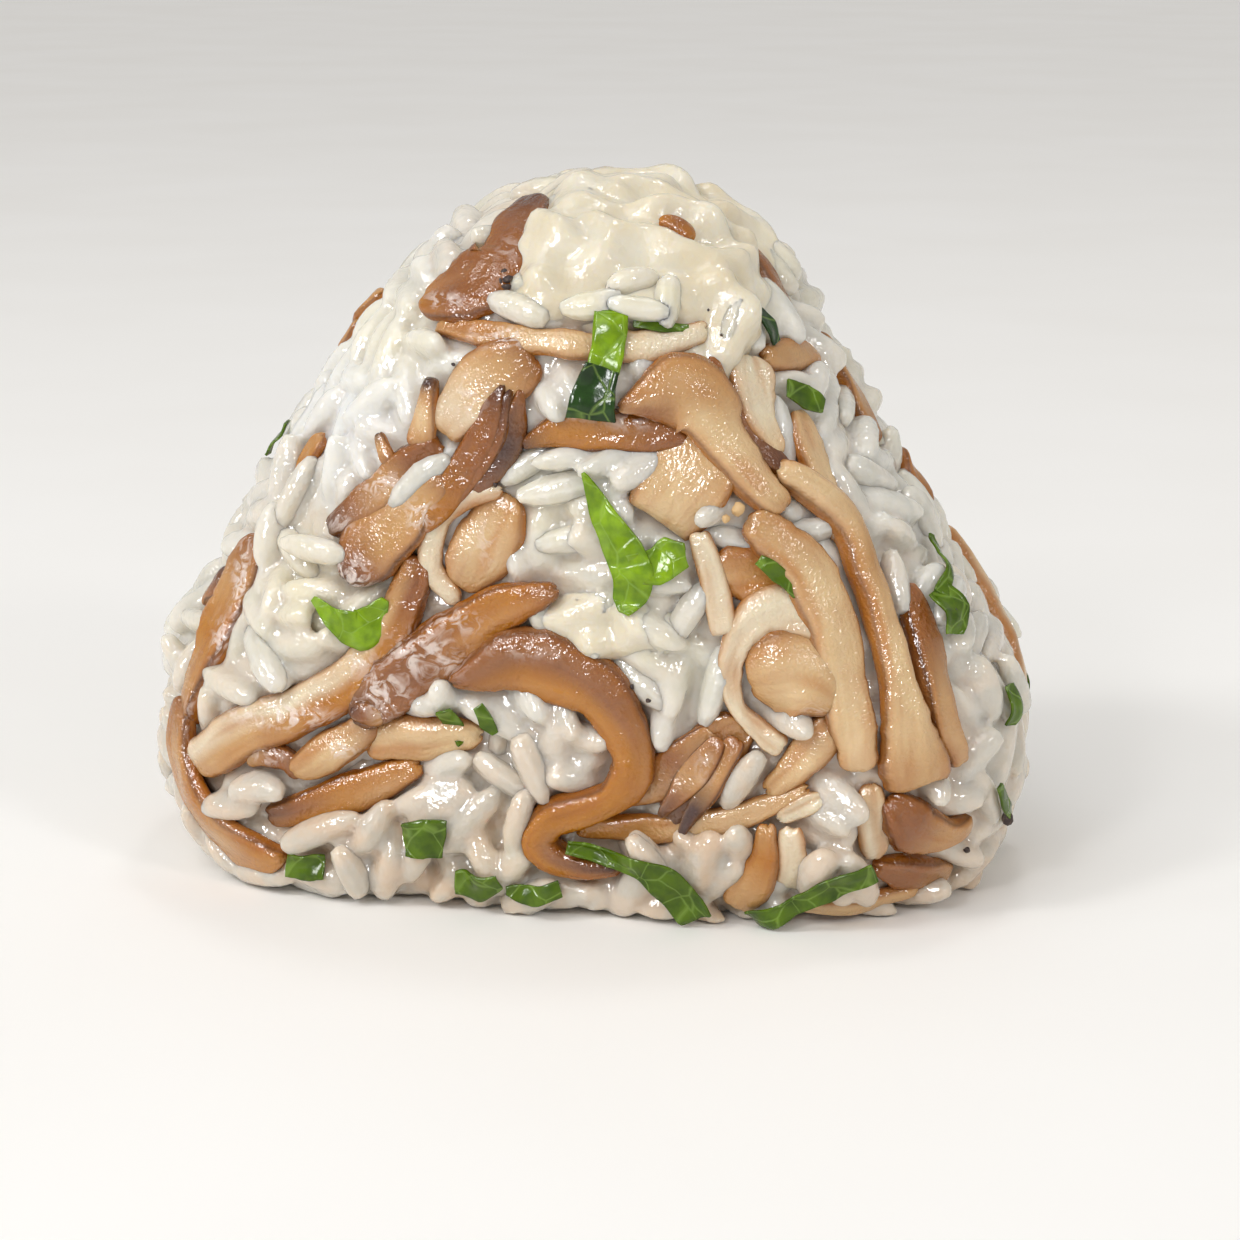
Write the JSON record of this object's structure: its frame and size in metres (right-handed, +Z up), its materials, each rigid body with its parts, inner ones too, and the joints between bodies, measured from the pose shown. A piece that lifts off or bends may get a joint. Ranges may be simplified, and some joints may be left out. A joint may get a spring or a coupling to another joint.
{
  "type": "onigiri",
  "caption": "Triangular rice ball of cooked rice mixed with strips and caps of cooked mushroom, melted cheese and green herb, resting upright on a flat base.",
  "frame": {"origin": "middle of the flat base, level with the surface the rice ball stands on", "axes": "+Z up to the rounded tip, -Y out of the front face, +X to the right as seen from the front"},
  "size_m": [0.0817, 0.047, 0.0633],
  "materials": {
    "rice": "moist, translucent cooked rice",
    "mushroom_brown": "wet, fibrous cooked mushroom cap",
    "mushroom_dark": "wet, dark-edged mushroom frond",
    "mushroom_amber": "wet, glossy amber-brown mushroom",
    "mushroom_tan": "wet, fibrous tan mushroom",
    "mushroom_cream": "moist, finely fibrous mushroom stem",
    "herb": "fresh, veined green leaf with a soft shine",
    "cheese": "soft, half-clear melted cheese",
    "pepper": "dry cracked specks"
  },
  "bodies": {
    "root": {"rice_ball": "rice", "upper_band": "mushroom_tan", "top_cap": "mushroom_brown", "fan_stem": "mushroom_tan", "finger": "mushroom_dark", "left_frond": "mushroom_brown", "left_sliver": "mushroom_amber", "fold_right": "mushroom_dark", "fold_left": "mushroom_amber", "paddle": "mushroom_tan", "pale_slice": "mushroom_cream", "pale_loop": "mushroom_cream", "edge_frond": "mushroom_brown", "corner_strip": "mushroom_tan", "big_sweep": "mushroom_tan", "curl": "mushroom_brown", "lower_left_strip": "mushroom_brown", "knuckle_stem": "mushroom_cream", "short_stem": "mushroom_tan", "diagonal_ribbon": "mushroom_brown", "big_hook": "mushroom_amber", "golden_lens": "mushroom_amber", "pale_tile": "mushroom_cream", "yellow_petal": "mushroom_cream", "pale_web": "mushroom_cream", "frond_edge": "mushroom_dark", "main_frond": "mushroom_tan", "amber_tile": "mushroom_amber", "cap_shadow": "mushroom_dark", "corner_slice": "mushroom_cream", "cap_fold": "mushroom_brown", "stem_a": "mushroom_cream", "slim_cap": "mushroom_brown", "stem_b": "mushroom_cream", "dark_fan": "mushroom_dark", "lower_band": "mushroom_tan", "lower_strip": "mushroom_tan", "side_slice": "mushroom_cream", "pink_stem": "mushroom_tan", "ring": "mushroom_cream", "knob": "mushroom_tan", "back_band": "mushroom_tan", "back_slice": "mushroom_cream", "back_stem": "mushroom_cream", "back_cap": "mushroom_brown", "back_sweep": "mushroom_tan", "back_frond": "mushroom_dark", "back_hook": "mushroom_amber", "back_curl": "mushroom_tan", "ridge_strip": "mushroom_brown", "ridge_block": "mushroom_tan", "ridge_low": "mushroom_brown", "ridge_cap": "mushroom_amber", "right_side_strip": "mushroom_tan", "left_side_strip": "mushroom_amber", "left_base_strip": "mushroom_tan", "crest_strip": "mushroom_cream"}
  },
  "joints": []
}
